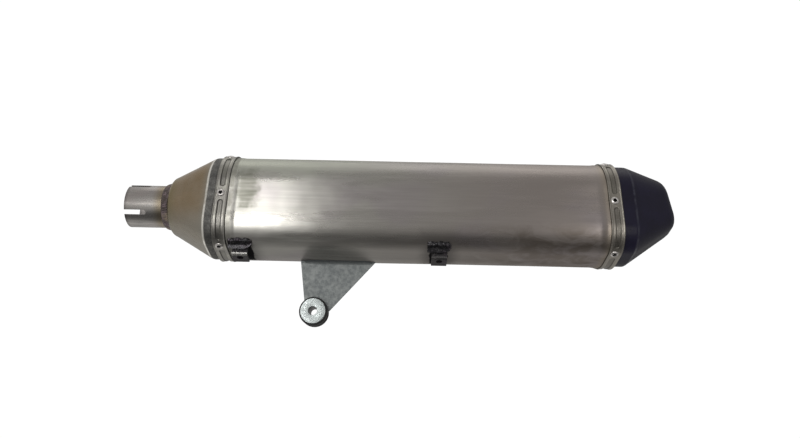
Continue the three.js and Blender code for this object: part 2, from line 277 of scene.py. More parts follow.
class Finish(Nodes):
    def __init__(self, name, colour, roughness, metallic=1.0, **sockets):
        self.material = bpy.data.materials.new(name)
        self.material.use_nodes = True
        super().__init__(self.material.node_tree)
        self.shader = self.tree.nodes["Principled BSDF"]
        self.shader.inputs["Metallic"].default_value = metallic
        self.set(colour, roughness)
        for socket, value in sockets.items():
            self.shader.inputs[socket.replace("_", " ")].default_value = value

    # object coordinates in metres, moved to a centre and stretched
    def spot(self, scale=(1, 1, 1), centre=(0, 0, 0)):
        shifted = self.node("VectorMath", Vector=self.node("TexCoord").outputs["Object"])
        shifted.operation = "SUBTRACT"
        shifted.inputs[1].default_value = centre
        return self.node("Mapping", Vector=shifted.outputs[0], Scale=scale).outputs[0]

    def grain(self, scale, stretch=(1, 1, 1), detail=4.0, roughness=0.55, warp=0.0):
        return self.node("TexNoise", Vector=self.spot(stretch), Scale=scale, Detail=detail,
                         Roughness=roughness, Distortion=warp).outputs["Fac"]

    def along(self, axis):  # how far along x, y or z a point is
        return self.node("SeparateXYZ", Vector=self.spot()).outputs[axis]

    def distance(self, centre, scale=(1, 1, 1)):  # from a centre, in a space stretched by scale
        made = self.node("VectorMath", Vector=self.spot(scale, centre))
        made.operation = "LENGTH"
        return made.outputs["Value"]

    def painted(self, name):  # a number painted on the mesh's points
        made = self.tree.nodes.new("ShaderNodeAttribute")
        made.attribute_name = name
        return made.outputs["Fac"]

    def bump(self, height, distance, strength=1.0, under=None):
        made = self.node("Bump", Height=height, Distance=distance, Strength=strength)
        if under is not None:
            self.tree.links.new(under, made.inputs["Normal"])
        return made.outputs["Normal"]

    # lays tints over a colour, each through a mask: a grain, a fade along an axis or painted shade stored on the
    # points
    def lay(self, colour, layers):
        for mask, low, high, most, tint in layers:
            if mask == "paintedShade":
                factor = self.times(self.painted(mask), most)
            else:
                measured = self.along(mask) if isinstance(mask, str) else self.grain(*mask)
                factor = self.remap(measured, low, high, 0, most)
            colour = self.blend(factor, colour, tint)
        return colour

    # brushed along the body, so highlights stretch round it
    def brushed(self, amount):
        self.shader.inputs["Anisotropic"].default_value = amount
        heading = self.tree.nodes.new("ShaderNodeTangent")
        heading.direction_type = "RADIAL"
        heading.axis = "X"
        self.tree.links.new(heading.outputs["Tangent"], self.shader.inputs["Tangent"])

    def set(self, colour=None, roughness=None, normal=None):
        for socket, value in (("Base Color", colour), ("Roughness", roughness), ("Normal", normal)):
            if value is not None:
                self.feed(self.shader.inputs[socket], value)


# A grain is its scale, stretch, detail, roughness and warp. A layer is a mask, the values where it starts
# and is full, its greatest strength and its tint. Rough is a grain with the smoothest and the roughest value,
# bump a grain with a depth and a strength.
even = (1, 1, 1)


def makeLayered(name, look):
    grain, smoothest, roughest = look["rough"]
    f = Finish(name, look["base"], smoothest, look.get("metal", 1.0))
    rough = f.remap(f.grain(*grain), 0.3, 0.7, smoothest, roughest)
    grain, depth, strength = look["bump"]
    f.set(f.lay(look["base"], look["layers"]), rough, f.bump(f.grain(*grain), depth, strength))
    return f.material


pipeSteel = makeLayered("pipeSteel", {
    "base": (0.46, 0.44, 0.42),
    "layers": [
        ((60, (1, 14, 14), 3), 0.35, 0.65, 1, (0.34, 0.33, 0.32)),
        ((45, (0.6, 1, 1)), 0.4, 0.7, 0.6, (0.42, 0.37, 0.36)),
        ("X", 26 * mm, 37 * mm, 0.8, (0.29, 0.235, 0.155)),  # gold heat tint at the weld
        ("X", 4 * mm, 0, 0.55, (0.12, 0.11, 0.11)),  # dark mouth
    ],
    "rough": ((60, (1, 14, 14), 3), 0.22, 0.35), "bump": ((380, (0.05, 1, 1), 2), 0.05 * mm, 0.6),
})
weldTint = makeLayered("heatStainedWeld", {
    "base": (0.14, 0.115, 0.11),
    "layers": [
        ((220, even, 5), 0.4, 0.65, 1, (0.26, 0.205, 0.22)),  # purple
        ((90,), 0.5, 0.7, 1, (0.38, 0.31, 0.23)),  # straw
    ],
    "rough": ((220, even, 5), 0.24, 0.49), "bump": ((1400, even, 2), 0.08 * mm, 0.7),
})
bandSteel = makeLayered("pressedBand", {
    "base": (0.40, 0.39, 0.35),
    "layers": [
        ((80, even, 4), 0.35, 0.65, 1, (0.30, 0.29, 0.27)),
        ("X", 250 * mm, 400 * mm, 0.7, (0.34, 0.31, 0.27)),  # warmer on the rear band
        ((900, even, 3), 0.5, 0.75, 0.5, (0.55, 0.54, 0.5)),
        # painted shade on the slot walls, in the pressed slots and along the edges
        ("paintedShade", 0, 1, 0.92, (0.02, 0.019, 0.017)),
    ],
    "rough": ((900, even, 3), 0.28, 0.46), "bump": ((900, even, 3), 0.06 * mm, 0.8),
})
rivetSteel = makeLayered("rivetSteel", {
    "base": (0.82, 0.79, 0.77),
    "layers": [
        ((700, even, 3), 0.35, 0.7, 1, (0.5, 0.48, 0.46)),
        ("paintedShade", 0, 1, 1, (0.008, 0.008, 0.008)),  # painted shade inside the barrel
    ],
    "rough": ((700, even, 3), 0.24, 0.39), "bump": ((700, even, 3), 0.05 * mm, 0.7),
})
hangerSteel = makeLayered("blastedHangerSteel", {
    "base": (0.24, 0.257, 0.255), "metal": 0.55,
    "layers": [
        ((330, even, 5, 0.7), 0.35, 0.68, 1, (0.172, 0.189, 0.196)),
        ((70, even, 3), 0.4, 0.7, 0.35, (0.305, 0.32, 0.318)),
        ("Z", -58.5 * mm, -55.5 * mm, 0.75, (0.10, 0.11, 0.115)),  # painted shade under the sleeve, by the weld
    ],
    "rough": ((330, even, 5, 0.7), 0.44, 0.62), "bump": ((330, even, 5, 0.7), 0.12 * mm, 0.8),
})
rubber = makeLayered("blackRubber", {
    "base": (0.012, 0.012, 0.013), "metal": 0.0, "layers": [((150,), 0.4, 0.75, 0.7, (0.035, 0.035, 0.036))],
    "rough": ((150,), 0.52, 0.72), "bump": ((1300, even, 4, 0.7), 0.1 * mm, 0.7),
})
innerSteel = makeLayered("innerSteel", {
    "base": (0.34, 0.33, 0.31), "layers": [((90, even, 5), 0.35, 0.68, 1, (0.18, 0.14, 0.11))],
    "rough": ((90, even, 5), 0.38, 0.58), "bump": ((600, (0.2, 1, 1)), 0.08 * mm, 0.6),
})
tangle = (260, (0.25, 1, 1), 6, 0.75, 1.4)
glassWool = makeLayered("glassWool", {
    "base": (0.34, 0.29, 0.16), "metal": 0.0,
    "layers": [
        (tangle, 0.38, 0.66, 1, (0.62, 0.56, 0.36)),
        ("X", 130 * mm, 100 * mm, 0.6, (0.12, 0.09, 0.06)),  # scorched at the inlet
    ],
    "rough": (tangle, 0.85, 1.0), "bump": (tangle, 1.2 * mm, 0.9),
})

coneLook = {
    "bronze": (0.31, 0.235, 0.15), "roughness": 0.28,
    "layers": [
        ((28, even, 4, 0.55, 0.4), 0.38, 0.66, 1, (0.345, 0.275, 0.195)),
        ("X", 60 * mm, 44 * mm, 0.8, (0.25, 0.215, 0.12)),  # olive by the weld
        ("Z", 0, -35 * mm, 0.75, (0.345, 0.335, 0.30)),  # grey below
        ("X", 80.7 * mm, 89.7 * mm, 0.5, (0.345, 0.335, 0.30)),  # and before the fold
    ],
    # a painted highlight along the fold
    "paintedHighlight": (0.90, 0.88, 0.82), "foldHighlightBack": 0.6 * mm, "foldHighlightReach": (1.6 * mm, 0.8 * mm),
    "fold": 89.7 * mm,  # past the fold the skirt is bare and granular
    "matt": (0.155, 0.152, 0.145), "mattDark": (0.09, 0.09, 0.088), "sparkle": (0.45, 0.45, 0.43),
    "skirtRoughness": 0.32, "scratchDepth": 0.08 * mm,
}


def makeTintedCone(look):
    f = Finish("heatTintedCone", look["bronze"], look["roughness"])
    x, fold = f.along("X"), look["fold"]
    speckle = f.grain(1500, detail=3, roughness=0.7)
    scratches = f.grain(260, (0.1, 1, 1), 3)
    # painted highlight along the fold, broken up by a grain
    paintedHighlight = f.remap(f.gap(x, fold - look["foldHighlightBack"]), *look["foldHighlightReach"])
    paintedHighlight = f.times(paintedHighlight, f.remap(f.grain(120, detail=3), 0.3, 0.5, 0.5, 1.0))
    colour = f.blend(paintedHighlight, f.lay(look["bronze"], look["layers"]), look["paintedHighlight"])
    onSkirt = f.remap(x, fold - 0.1 * mm, fold + 0.4 * mm)
    granular = f.blend(f.remap(speckle, 0.45, 0.75), look["matt"], look["sparkle"])
    granular = f.blend(f.remap(f.grain(160), 0.35, 0.7, 0, 0.7), granular, look["mattDark"])
    colour = f.blend(onSkirt, colour, granular)
    smooth = f.remap(scratches, 0.3, 0.7, look["roughness"] - 0.06, look["roughness"] + 0.1)
    rough = f.plus(smooth, f.times(onSkirt, look["skirtRoughness"]))
    height = f.plus(f.times(scratches, 0.35), f.times(f.times(speckle, onSkirt), 2))
    f.set(colour, rough, f.bump(height, look["scratchDepth"], 0.6))
    return f.material


tintedCone = makeTintedCone(coneLook)

tabBoxes = {end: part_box("heat_shield_tab_" + end) for end in ("front", "rear")}
tabMiddle = {end: (low + high) / 2 for end, (low, high) in tabBoxes.items()}
sootAndShadowTop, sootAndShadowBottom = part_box("tab_weld_front")[1].z + 0.6 * mm, tabBoxes["front"][0].z
sleeveLook = {
    "steel": (0.44, 0.43, 0.40), "bright": (0.54, 0.53, 0.50), "line": (0.36, 0.35, 0.33),
    "lines": (420, (0.03, 1, 1), 3, 0.6), "broad": (55, (0.14, 1, 1), 4, 0.6, 0.3),
    "layers": [
        ("X", 160 * mm, 460 * mm, 0.85, (0.40, 0.35, 0.33)),  # warmer towards the outlet
        ((16, (0.7, 1, 1), 3, 0.5, 0.6), 0.48, 0.66, 0.45, (0.40, 0.36, 0.38)),
    ],
    "roughness": 0.27, "stretch": 0.85, "brush": 0.8, "brushDepth": 0.05 * mm, "dentDepth": 0.9 * mm,
    # painted reflection: greenish along the top, towards the inlet
    "green": (0.40, 0.42, 0.355), "greenUp": (5 * mm, 40 * mm), "greenBack": (360 * mm, 140 * mm),
    "greenMost": 0.8,
    # brown stains low on the outlet end
    "stain": (0.16, 0.125, 0.09), "stainDown": (-18 * mm, -36 * mm), "stainAlong": (300 * mm, 440 * mm),
    "stainMost": 0.55,
    "straw": (0.42, 0.36, 0.27), "strawAlong": (478 * mm, 487 * mm), "strawMost": 0.5,
    # a painted dark patch in the window's reflection, high beside the front band, on the near side
    "dull": (0.15, 0.153, 0.122), "reflectionPatchPlace": (129 * mm, 0, 8 * mm),
    "reflectionPatchSize": (12.5 * mm, 25 * mm), "reflectionPatchMost": 0.9,
    # the strip next to the front band is darker and rougher
    "bandStrip": (0.20, 0.195, 0.17), "bandStripAlong": (116.8 * mm, 115 * mm),
    # soot blown round the two heat-shield tabs, with painted shadow beside them
    "soot": (0.022, 0.021, 0.023), "sootAndShadowRagged": 5 * mm, "sootAndShadowHalo": 0.32,
    "tabs": (tabMiddle["front"].x + 0.8 * mm, tabMiddle["rear"].x),
    "sootAndShadowMiddle": (sootAndShadowTop + sootAndShadowBottom) / 2, "sootAndShadowTall": sootAndShadowTop - sootAndShadowBottom, "sootAndShadowWide": 18 * mm,
    "sootAndShadowReach": 15 * mm,
    "nearSide": (6 * mm, -4 * mm),  # where the near side starts, across the body
    "under": (-36 * mm, -50 * mm), "underRoughness": 0.12,
}


# soot round each tab, with painted shadow beside it
def sootAndShadowMask(f, x, z, look):
    soot = 0.0
    ragged = f.times(f.minus(f.grain(85, detail=3, roughness=0.5), 0.5), look["sootAndShadowRagged"])
    for tabX in look["tabs"]:
        sideways = f.minus(f.gap(x, tabX), look["sootAndShadowWide"] / 2)
        upwards = f.minus(f.gap(z, look["sootAndShadowMiddle"]), look["sootAndShadowTall"] / 2)
        beyond = f.plus(f.larger(sideways, upwards), ragged)
        near = f.remap(beyond, 1.2 * mm, -0.8 * mm)
        halo = f.remap(beyond, look["sootAndShadowReach"], -1 * mm, 0, look["sootAndShadowHalo"])
        soot = f.larger(soot, f.larger(near, halo))
    return soot


def reflectionPatchMask(f, look):
    ragged = f.times(f.minus(f.grain(110, detail=4), 0.5), 1.1)
    wide, tall = look["reflectionPatchSize"]
    patch = f.plus(f.distance(look["reflectionPatchPlace"], (1 / wide, 0, 1 / tall)), ragged)
    return f.times(f.remap(patch, 1.3, 0.5), f.remap(f.grain(300, (0.08, 1, 1), 4), 0.3, 0.7, 0.55, 1))


def makeSleeveSteel(look):
    f = Finish("brushedSleeve", look["steel"], look["roughness"])
    f.brushed(look["stretch"])
    x, y, z = f.along("X"), f.along("Y"), f.along("Z")
    lines, broad = f.grain(*look["lines"]), f.grain(*look["broad"])
    blotch = f.grain(70, (0.5, 1, 1), 5, 0.65, 0.8)
    onNearSide = f.remap(y, *look["nearSide"])
    colour = f.blend(f.remap(broad, 0.35, 0.68), look["steel"], look["bright"])
    colour = f.blend(f.remap(lines, 0.3, 0.7, 0, 0.5), colour, look["line"])
    colour = f.lay(colour, look["layers"])
    # painted reflection, greenish along the top towards the inlet
    green = f.times(f.remap(z, *look["greenUp"]), f.remap(x, *look["greenBack"]))
    colour = f.blend(f.times(green, look["greenMost"]), colour, look["green"])
    low = f.times(f.remap(z, *look["stainDown"]), f.remap(x, *look["stainAlong"]))
    stain = f.times(low, f.remap(blotch, 0.36, 0.62))
    colour = f.blend(f.times(stain, look["stainMost"]), colour, look["stain"])
    straw = f.remap(x, *look["strawAlong"], 0, look["strawMost"])
    colour = f.blend(straw, colour, look["straw"])
    # a painted dark patch in the window's reflection, a little rougher
    dull = f.times(reflectionPatchMask(f, look), onNearSide)
    colour = f.blend(f.times(dull, look["reflectionPatchMost"]), colour, look["dull"])
    strip = f.times(f.remap(x, *look["bandStripAlong"]),
                    f.remap(f.grain(130, detail=4), 0.3, 0.6, 0.35, 0.75))
    colour = f.blend(strip, colour, look["bandStrip"])
    # soot and painted shadow round the tabs
    soot = f.times(sootAndShadowMask(f, x, z, look), onNearSide)
    colour = f.blend(soot, colour, look["soot"])
    rough = f.remap(broad, 0.3, 0.7, look["roughness"] - 0.04, look["roughness"] + 0.07)
    for mask, extra in ((soot, 0.3), (dull, 0.08), (strip, 0.12)):
        rough = f.plus(rough, f.times(mask, extra))
    rough = f.plus(rough, f.remap(z, *look["under"], 0, look["underRoughness"]))
    # straight brushing with a few deeper scores, over shallow dents
    scores = f.remap(f.grain(240, (0.02, 1, 1), 2), 0.62, 0.72)
    brushing = f.plus(f.times(lines, 0.7), f.times(scores, -0.5))
    fine = f.bump(brushing, look["brushDepth"], look["brush"])
    f.set(colour, rough, f.bump(f.grain(34, (0.6, 1, 1), 2), look["dentDepth"], 0.35, fine))
    return f.material


sleeveSteel = makeSleeveSteel(sleeveLook)

capLook = {
    "black": (0.0080, 0.0068, 0.0200), "blue": (0.0110, 0.0092, 0.0290),
    "dust": (0.04, 0.038, 0.07), "dustMost": 0.8,
    # a painted highlight along the crease, where the paint is also rubbed smoother
    "polishAndHighlight": (0.05, 0.05, 0.07), "crease": 514.2 * mm, "creaseHighlightReach": (1.7 * mm, 0.4 * mm),
    "polish": 0.28, "roughness": 0.45, "coat": 0.14, "coatRoughness": 0.22, "specular": 0.2,
    "peelDepth": 0.08 * mm,
}


def makeCapPaint(look):
    f = Finish("satinBlackPaint", look["black"], look["roughness"], 0.0, Coat_Weight=look["coat"],
               Coat_Roughness=look["coatRoughness"], Specular_IOR_Level=look["specular"])
    peel = f.grain(1100, detail=2)
    dust = f.remap(f.grain(1900, detail=4, roughness=0.8), 0.62, 0.76)
    colour = f.blend(f.remap(f.grain(26), 0.35, 0.7), look["black"], look["blue"])
    colour = f.blend(f.times(dust, look["dustMost"]), colour, look["dust"])
    # painted highlight along the crease between skirt and slope, where the paint is also rubbed smoother
    polishAndHighlight = f.remap(f.gap(f.along("X"), look["crease"]), *look["creaseHighlightReach"])
    polishAndHighlight = f.times(polishAndHighlight, f.remap(f.grain(150), 0.35, 0.6, 0.15, 0.8))
    colour = f.blend(polishAndHighlight, colour, look["polishAndHighlight"])
    rough = f.remap(peel, 0.3, 0.7, look["roughness"] - 0.05, look["roughness"] + 0.09)
    rough = f.minus(rough, f.times(polishAndHighlight, look["polish"]))
    f.set(colour, rough, f.bump(peel, look["peelDepth"], 0.7))
    return f.material


capPaint = makeCapPaint(capLook)

eyeCentre = centreOf("hanger_grommet")
eyeCentre.y = 0
zincLook = {
    "zinc": (0.34, 0.37, 0.37), "bright": (0.39, 0.42, 0.42), "dull": (0.30, 0.33, 0.33), "roughness": 0.3,
    "turning": 9000.0,
    "centre": tuple(eyeCentre), "bore": 4.3 * mm, "boreShade": (0.006, 0.006, 0.006),
    "turnedDepth": 0.04 * mm,
}


def makeZinc(look):
    f = Finish("zincPlate", look["zinc"], look["roughness"])
    radius = f.distance(look["centre"], (1, 0, 1))
    rings = f.calc("SINE", f.times(radius, look["turning"]))
    ragged = f.grain(500, detail=3)
    colour = f.blend(f.remap(f.plus(rings, ragged), 0.0, 1.4), look["zinc"], look["bright"])
    colour = f.blend(f.remap(f.grain(120), 0.45, 0.7, 0, 0.3), colour, look["dull"])
    # painted shade inside the bore
    inBore = f.remap(radius, look["bore"] + 0.5 * mm, look["bore"] - 0.1 * mm)
    colour = f.blend(inBore, colour, look["boreShade"])
    depth = look["turnedDepth"]
    f.set(colour, f.remap(ragged, 0.3, 0.7, look["roughness"] - 0.05, look["roughness"] + 0.1),
          f.bump(rings, depth, 0.25, f.bump(ragged, depth, 0.3)))
    return f.material


zinc = makeZinc(zincLook)

sootLook = {
    "soot": (0.035, 0.033, 0.036), "ash": (0.14, 0.13, 0.13), "purple": (0.06, 0.045, 0.06),
    "roughness": 0.42, "metal": 0.75, "crust": 0.8, "crustDepth": 0.3 * mm,
}
weldSootLook = {
    **sootLook, "soot": (0.022, 0.021, 0.024), "ash": (0.12, 0.118, 0.12), "roughness": 0.26, "crust": 0.18,
}
tabLook = {
    # a painted highlight along the outside of each tab's bend
    **sootLook, "bright": (0.36, 0.355, 0.34), "bend": (0, -34.0 * mm, -56.2 * mm), "bendReach": 1.9 * mm,
    "bendSharp": 0.4 * mm, "highlightFull": 200 * mm, "highlightLittle": 250 * mm, "rearHighlight": 0.12,
}


def makeSoot(name, look):
    f = Finish(name, look["soot"], look["roughness"], look["metal"])
    crust = f.grain(520, detail=6, roughness=0.7)
    colour = f.blend(f.remap(crust, 0.48, 0.74), look["soot"], look["ash"])
    colour = f.lay(colour, (((130,), 0.5, 0.72, 0.6, look["purple"]),))
    rough = f.remap(crust, 0.3, 0.7, look["roughness"] - 0.12, look["roughness"] + 0.15)
    if "bend" in look:
        # painted highlight along the outside of the bend, most on the front tab, which is a little smoother there
        reach = look["bendReach"]
        bend = f.remap(f.distance(look["bend"], (0, 1, 1)), reach, reach - look["bendSharp"])
        onFront = f.remap(f.along("X"), look["highlightFull"], look["highlightLittle"], 1, look["rearHighlight"])
        paintedHighlight = f.remap(f.grain(240, (1, 0.3, 0.3)), 0.3, 0.5, 0.55, 1)
        polishAndHighlight = f.times(f.times(bend, onFront), paintedHighlight)
        colour = f.blend(polishAndHighlight, colour, look["bright"])
        rough = f.times(rough, f.remap(polishAndHighlight, 0, 1, 1, 0.6))
    f.set(colour, rough, f.bump(crust, look["crustDepth"], look["crust"]))
    return f.material


weldSoot = makeSoot("sootedWeld", weldSootLook)
tabSteel = makeSoot("sootedTab", tabLook)

wireLook = {
    "wire": (0.5, 0.48, 0.44), "shade": (0.05, 0.05, 0.05), "roughness": 0.3, "gapRoughness": 0.7,
    "pitch": 5200.0, "round": 110.0, "wireDepth": 0.5 * mm,
}


def makeWovenWire(look):
    f = Finish("wovenWireWrap", look["wire"], look["roughness"])
    turn = f.calc("ARCTAN2", f.along("Y"), f.along("Z"))
    warp = f.calc("SINE", f.times(f.along("X"), look["pitch"]))
    weft = f.calc("SINE", f.times(turn, look["round"]))
    weave = f.times(warp, weft)
    colour = f.blend(f.remap(weave, -0.4, 0.5), look["shade"], look["wire"])
    f.set(colour, f.remap(weave, -1, 1, look["gapRoughness"], look["roughness"]),
          f.bump(weave, look["wireDepth"], 0.8))
    return f.material


wovenWire = makeWovenWire(wireLook)

print("finishes mixed:", len(bpy.data.materials))


# inlet pipe with its four clamp slots
inletPipe = {
    "outer": 22 * mm, "inner": 20.5 * mm, "count": 128, "edge": 0.35 * mm, "sharp": 32,
    "slotWidth": 5.2 * mm, "slotLength": 22.0 * mm, "firstSlot": 31.6 * deg, "slots": 4,
}


def cutBy(piece, cutter):
    change = piece.modifiers.new("cut", "BOOLEAN")
    change.object = cutter
    change.solver = "EXACT"
    bpy.context.view_layer.update()
    seen = piece.evaluated_get(bpy.context.evaluated_depsgraph_get())
    cutMesh = bpy.data.meshes.new_from_object(seen)
    piece.modifiers.clear()
    old = piece.data
    piece.data = cutMesh
    bpy.data.meshes.remove(old)
    bpy.data.objects.remove(cutter)


# a round-ended bar through the wall, starting before the open end
def slotCutter(look, angle, steps=12):
    out = Vector((0, math.cos(angle), math.sin(angle)))
    side = out.cross(alongBody)
    half = look["slotWidth"] / 2
    tip = look["slotLength"] - half
    before = -5 * mm
    outline = [(before, -half), (tip, -half)]
    outline += [(tip + half * math.sin(a), -half * math.cos(a)) for a in np.linspace(0, math.pi, steps)[1:-1]]
    outline += [(tip, half), (before, half)]
    points = []
    for reach in (10 * mm, 30 * mm):
        points += [alongBody * a + side * b + out * reach for a, b in outline]
    n = len(outline)
    faces = [tuple(range(n)), tuple(range(2 * n - 1, n - 1, -1))]
    faces += [(i, i + n, (i + 1) % n + n, (i + 1) % n) for i in range(n)]
    return meshFrom("slotCutter", points, faces)


def makeInletPipe(look):
    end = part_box("inlet_pipe")[1].x
    profile = [(look["inner"], 0), (look["outer"], 0), (look["outer"], end), (look["inner"], end)]
    profile = roundedProfile(profile, look["edge"])
    rings = turnedRings(profile, Vector(), alongBody, look["count"])
    pipe = makeLoft("inletPipe", rings, pipeSteel, "inlet_pipe", look["sharp"])
    for i in range(look["slots"]):
        cutBy(pipe, slotCutter(look, look["firstSlot"] + i * math.pi / 2))
    pipe.data.shade_smooth()
    pipe.data.set_sharp_from_angle(angle=look["sharp"] * deg)


makeInletPipe(inletPipe)

# weld between pipe and cone: overlapping ripples laid at a slant
inletWeld = {
    # radius and place along the body, in mm
    "profile": [(21.9, 37.6), (22.5, 37.7), (23.0, 38.3), (23.5, 39.3), (23.9, 40.6), (24.1, 41.6),
                (24.4, 42.6), (24.8, 43.6), (25.2, 44.4), (25.3, 45.0), (24.6, 45.3), (21.9, 45.3)],
    "ripples": 62, "ripple": 0.75 * mm, "lean": 0.9, "leanOver": 3 * mm, "count": 464, "uneven": 0.35 * mm,
}


def makeInletWeld(look):
    profile = [(r * mm, h * mm) for r, h in look["profile"]]

    def rippled(radius, height, angle, step):
        if step in (0, len(profile) - 1):
            return radius, height
        lag = look["lean"] * (height - profile[0][1]) / look["leanOver"]
        wave = abs(math.sin(0.5 * look["ripples"] * angle + lag))
        swell = look["uneven"] * noise.noise(Vector((3 * math.cos(angle), 3 * math.sin(angle), height * 200)))
        edge = math.sin(math.pi * step / (len(profile) - 1))
        return radius + (look["ripple"] * (wave - 0.5) + swell) * edge, height + swell

    rings = turnedRings(profile, Vector(), alongBody, look["count"], rippled)
    makeLoft("inletWeldBead", rings, weldTint, "inlet_weld_bead", 60)


makeInletWeld(inletWeld)

# inlet cone: round at the pipe, shield-shaped at the sleeve
inletCone = {
    "count": 240, "wall": 1.2 * mm, "neck": 22.6 * mm, "start": 44.9 * mm,
    "shoulder": 31.3 * mm, "shoulderAt": 50.2 * mm, "shoulderTurn": 0.86 * math.pi / 2, "shoulderRows": 12,
    "fold": 89.5 * mm, "foldRound": 0.06, "foldReach": 34 * mm, "slopeRows": 26,
    "flush": -0.4 * mm, "tucked": -1.35 * mm, "stepAt": 97.0 * mm,
}


def makeInletCone(look):
    count, wall, fold, start = look["count"], look["wall"], look["fold"], look["start"]
    flush, tucked, turn = look["flush"], look["tucked"], look["shoulderTurn"]
    ring = sectionRing(count)
    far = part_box("inlet_cone")[1].x

    def slope(t, shell):
        small = roundRing(0, look["shoulder"] - shell, count)
        large = ringAt(0, flush - shell, ring)
        x = mixNumber(look["shoulderAt"], fold, t)
        return [(x, mixNumber(a[1], b[1], t), mixNumber(a[2], b[2], t)) for a, b in zip(small, large)]

    rings = []
    # rounded shoulder, most of a quarter turn from the neck to the slope
    for i in range(look["shoulderRows"] + 1):
        a = i / look["shoulderRows"] * turn
        x = mixNumber(start, look["shoulderAt"], (1 - math.cos(a)) / (1 - math.cos(turn)))
        radius = mixNumber(look["neck"], look["shoulder"], math.sin(a) / math.sin(turn))
        rings.append(roundRing(x, radius, count))
    last = 1 - look["foldRound"]
    rings += [slope(last * i / look["slopeRows"], 0) for i in range(1, look["slopeRows"] + 1)]
    # small round where the slope turns into the skirt
    skirt = ringAt(fold + look["foldRound"] * look["foldReach"], flush, ring)
    rings += [bendRing(slope(last, 0), slope(1, 0), skirt, i / 7) for i in range(1, 7)]
    rings.append(skirt)
    for x, offset in ((look["stepAt"], flush), (look["stepAt"] + 0.5 * mm, tucked), (far, tucked),
                      (far, tucked - wall), (fold, flush - wall)):
        rings.append(ringAt(x, offset, ring))
    rings.append(slope(0.5, wall))
    rings.append(roundRing(look["shoulderAt"] + 0.7 * mm, look["shoulder"] - wall, count))
    rings.append(roundRing(start + 2 * mm, look["neck"] + 0.2 * mm, count))
    rings.append(roundRing(start + 0.4 * mm, look["neck"] - 0.5 * mm, count))
    makeLoft("inletCone", rings, tintedCone, "inlet_cone", 40)


makeInletCone(inletCone)
print("inlet made")

# sleeve, with the slight waviness of rolled sheet
bodySleeve = {
    "count": 360, "rows": 180, "wall": 1 * mm, "wave": 0.22 * mm, "waveLength": 62 * mm, "calmEnd": 20 * mm,
    "swage": 0.4 * mm, "swageFrom": 17.5 * mm, "swageTo": 21 * mm,  # a low raised strip beside each band
}


def makeSleeve(look):
    low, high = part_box("body_sleeve")
    ring = sectionRing(look["count"])
    rings = []
    for i in range(look["rows"] + 1):
        x = mixNumber(low.x, high.x, i / look["rows"])
        calm = smoothStep(low.x, low.x + look["calmEnd"], x) * smoothStep(high.x, high.x - look["calmEnd"], x)
        fromEnd = min(x - low.x, high.x - x)
        raised = look["swage"] * smoothStep(look["swageTo"], look["swageFrom"], fromEnd)
        row = []
        for spot in ring:
            place = Vector((x * 0.6, *spot[0])) / look["waveLength"]
            swell = noise.noise(place) + 0.35 * noise.noise(place * 2.7 + Vector((9, 2, 5)))
            row.append(pointAt(x, look["wave"] * calm * swell + raised, spot))
        rings.append(row)
    rings.append(ringAt(high.x, -look["wall"], ring))
    rings.append(ringAt(low.x, -look["wall"], ring))
    makeLoft("bodySleeve", rings, sleeveSteel, "body_sleeve", 40)


makeSleeve(bodySleeve)

# riveted bands with rolled edges and pressed slots
rivetSpots = [21 * mm, 74 * mm, 129.8 * mm]  # distance round the section from the top, on each side
bandForm = {
    "count": 720, "rows": 48, "seat": 1.45 * mm, "inner": 0.25 * mm,
    "lip": 0.42 * mm, "lipWidth": 1.7 * mm, "edgeRound": 0.7 * mm,
    "pressDepth": 0.95 * mm, "pressWidth": 4.6 * mm, "pressWall": 0.9 * mm, "rivetRoom": 7.6 * mm,
    # painted shade on the slot walls, in the pressed slots and along the band's edges
    "wallShade": 0.75 * mm, "pressShade": 0.35, "edgeShade": 0.9, "edgeShadeWidth": 0.5 * mm,
}


def pressedSlots(look):
    spots = sorted([-s for s in rivetSpots] + rivetSpots + [girth - rivetSpots[-1]])
    return [(a + look["rivetRoom"], b - look["rivetRoom"]) for a, b in zip(spots, spots[1:])]


# how far a point is from the wall of the nearest pressed slot, negative inside it
def slotGap(distance, side, look, slots):
    half = look["pressWidth"] / 2
    best = 1.0
    for start, end in slots:
        for turn in (-girth, 0, girth):
            at = distance + turn
            nearest = min(max(at, start + half), end - half)
            best = min(best, math.hypot(at - nearest, side) - half)
    return best


def makeBand(name, node, look):
    low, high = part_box(node)
    width = high.x - low.x
    ring = sectionRing(look["count"])
    slots = pressedSlots(look)
    rings, paintedShade = [], []
    for row in range(look["rows"] + 1):
        v = row / look["rows"]
        side = (v - 0.5) * width
        fromEdge = width / 2 - abs(side)
        lip = look["lip"] * smoothStep(look["lipWidth"], look["lipWidth"] * 0.45, fromEdge)
        overEdge = 1 - min(1, fromEdge / look["edgeRound"])
        height = look["seat"] + lip - look["edgeRound"] * (1 - math.sqrt(max(0, 1 - overEdge ** 2)))
        line, shadeRow = [], []
        for i, spot in enumerate(ring):
            gap = slotGap(girth * i / look["count"], side, look, slots)
            press = smoothStep(look["pressWall"] / 2, -look["pressWall"] / 2, gap)
            line.append(pointAt(low.x + v * width, height - press * look["pressDepth"], spot))
            # painted shade: darkest on the slot walls, fainter in the pressed slots and along the edges
            onWall = 1 - min(1, abs(gap) / look["wallShade"])
            onEdge = look["edgeShade"] * smoothStep(look["edgeShadeWidth"], 0, fromEdge)
            shadeRow.append(max(onWall, look["pressShade"] * press, onEdge))
        rings.append(line)
        paintedShade.append(shadeRow)
    for x in (high.x, low.x):
        rings.append(ringAt(x, look["inner"], ring))
        paintedShade.append([1.0] * look["count"])
    band = makeLoft(name, rings, bandSteel, node, 50)
    paintPoints(band, "paintedShade", paintedShade)


makeBand("frontBand", "front_band", bandForm)
makeBand("rearBand", "rear_band", bandForm)
print("sleeve and bands made")

